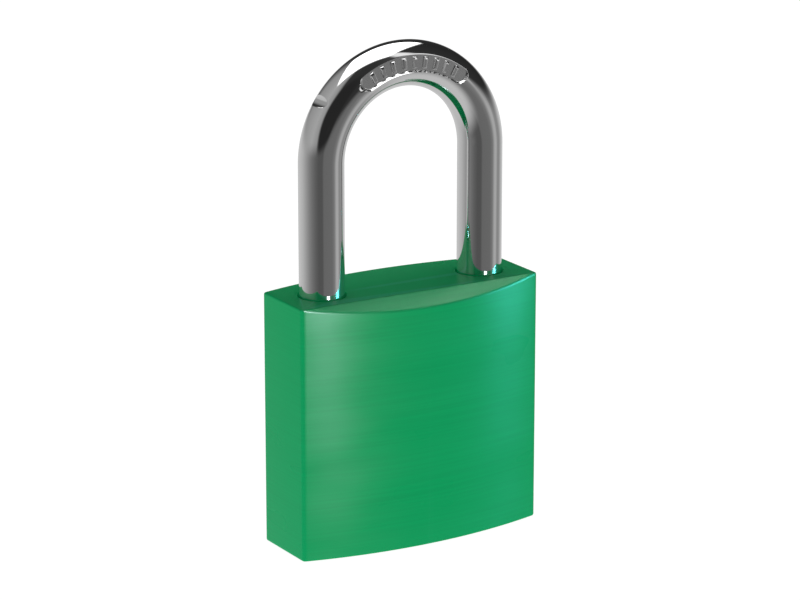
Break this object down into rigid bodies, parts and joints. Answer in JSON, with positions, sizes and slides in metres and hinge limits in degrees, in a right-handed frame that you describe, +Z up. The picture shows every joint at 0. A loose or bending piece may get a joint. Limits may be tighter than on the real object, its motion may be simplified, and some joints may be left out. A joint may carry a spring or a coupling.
{
  "type": "padlock",
  "caption": "Keyed padlock with a solid anodised body of bulged plan, a round plated shackle, and a pin cylinder that works a cam and two locking bolts.",
  "frame": {"origin": "middle of the underside of the lock body", "axes": "+Z up through the shackle, +X towards the short toe leg, -Y towards the front face with the sloping top edge"},
  "size_m": [0.039, 0.0164, 0.0721],
  "materials": {
    "green_anodised": "brushed and anodised, satin",
    "plated_steel": "bright plated, polished",
    "brass": "machined",
    "spring_steel": "drawn wire",
    "hard_steel": "ground and hardened"
  },
  "bodies": {
    "lock_body": {"lock_body": "green_anodised", "cylinder_shell": "brass", "chamber_cover": "brass", "cylinder_screw": "hard_steel", "shackle_spring": "spring_steel", "cam_spring": "spring_steel", "pin_spring_1": "spring_steel", "pin_spring_2": "spring_steel", "pin_spring_3": "spring_steel", "pin_spring_4": "spring_steel", "pin_spring_5": "spring_steel"},
    "shackle": {"shackle": "plated_steel"},
    "plug": {"cylinder_plug": "brass", "plug_clip": "spring_steel"},
    "cam": {"cam": "hard_steel"},
    "toe_bolt": {"toe_locking_bolt": "hard_steel"},
    "heel_bolt": {"heel_locking_bolt": "hard_steel"},
    "key_pin_1": {"key_pin_1": "brass"},
    "driver_pin_1": {"driver_pin_1": "hard_steel"},
    "key_pin_2": {"key_pin_2": "brass"},
    "driver_pin_2": {"driver_pin_2": "hard_steel"},
    "key_pin_3": {"key_pin_3": "brass"},
    "driver_pin_3": {"driver_pin_3": "hard_steel"},
    "key_pin_4": {"key_pin_4": "brass"},
    "driver_pin_4": {"driver_pin_4": "hard_steel"},
    "key_pin_5": {"key_pin_5": "brass"},
    "driver_pin_5": {"driver_pin_5": "hard_steel"}
  },
  "joints": [
    {"name": "shackle_lift", "type": "slide", "parent": "lock_body", "child": "shackle", "axis": [0, 0, 1], "range_m": [0, 0.0122], "deforming": ["shackle_spring"]},
    {"name": "plug_turn", "type": "hinge", "parent": "lock_body", "child": "plug", "pos_m": [0, 0, 0.01], "axis": [0, 0, 1], "range_deg": [0, 90]},
    {"name": "lock_toe_bolt", "type": "slide", "parent": "lock_body", "child": "toe_bolt", "axis": [-1, 0, 0], "range_m": [-0.00155, 0]},
    {"name": "lock_heel_bolt", "type": "slide", "parent": "lock_body", "child": "heel_bolt", "axis": [1, 0, 0], "range_m": [-0.0006, 0]},
    {"name": "lock_cam_turn", "type": "hinge", "parent": "lock_body", "child": "cam", "pos_m": [0, 0, 0.0295], "axis": [0, 0, 1], "range_deg": [-90, 0], "deforming": ["cam_spring"]},
    {"name": "tumbler_1_key_pin", "type": "slide", "parent": "plug", "child": "key_pin_1", "axis": [1, 0, 0], "range_m": [-0.0018, 0]},
    {"name": "tumbler_1_driver", "type": "slide", "parent": "lock_body", "child": "driver_pin_1", "axis": [1, 0, 0], "range_m": [-0.0018, 0], "deforming": ["pin_spring_1"]},
    {"name": "tumbler_2_key_pin", "type": "slide", "parent": "plug", "child": "key_pin_2", "axis": [1, 0, 0], "range_m": [-0.003, 0]},
    {"name": "tumbler_2_driver", "type": "slide", "parent": "lock_body", "child": "driver_pin_2", "axis": [1, 0, 0], "range_m": [-0.003, 0], "deforming": ["pin_spring_2"]},
    {"name": "tumbler_3_key_pin", "type": "slide", "parent": "plug", "child": "key_pin_3", "axis": [1, 0, 0], "range_m": [-0.0022, 0]},
    {"name": "tumbler_3_driver", "type": "slide", "parent": "lock_body", "child": "driver_pin_3", "axis": [1, 0, 0], "range_m": [-0.0022, 0], "deforming": ["pin_spring_3"]},
    {"name": "tumbler_4_key_pin", "type": "slide", "parent": "plug", "child": "key_pin_4", "axis": [1, 0, 0], "range_m": [-0.0034, 0]},
    {"name": "tumbler_4_driver", "type": "slide", "parent": "lock_body", "child": "driver_pin_4", "axis": [1, 0, 0], "range_m": [-0.0034, 0], "deforming": ["pin_spring_4"]},
    {"name": "tumbler_5_key_pin", "type": "slide", "parent": "plug", "child": "key_pin_5", "axis": [1, 0, 0], "range_m": [-0.0026, 0]},
    {"name": "tumbler_5_driver", "type": "slide", "parent": "lock_body", "child": "driver_pin_5", "axis": [1, 0, 0], "range_m": [-0.0026, 0], "deforming": ["pin_spring_5"]}
  ],
  "couplings": [
    {"joint": "lock_cam_turn", "follows": "lock_toe_bolt", "rad_per_m": 1013.4},
    {"joint": "lock_heel_bolt", "follows": "lock_toe_bolt", "ratio": 0.3871},
    {"joint": "tumbler_1_driver", "follows": "tumbler_1_key_pin", "ratio": 1},
    {"joint": "tumbler_2_driver", "follows": "tumbler_2_key_pin", "ratio": 1},
    {"joint": "tumbler_3_driver", "follows": "tumbler_3_key_pin", "ratio": 1},
    {"joint": "tumbler_4_driver", "follows": "tumbler_4_key_pin", "ratio": 1},
    {"joint": "tumbler_5_driver", "follows": "tumbler_5_key_pin", "ratio": 1}
  ]
}
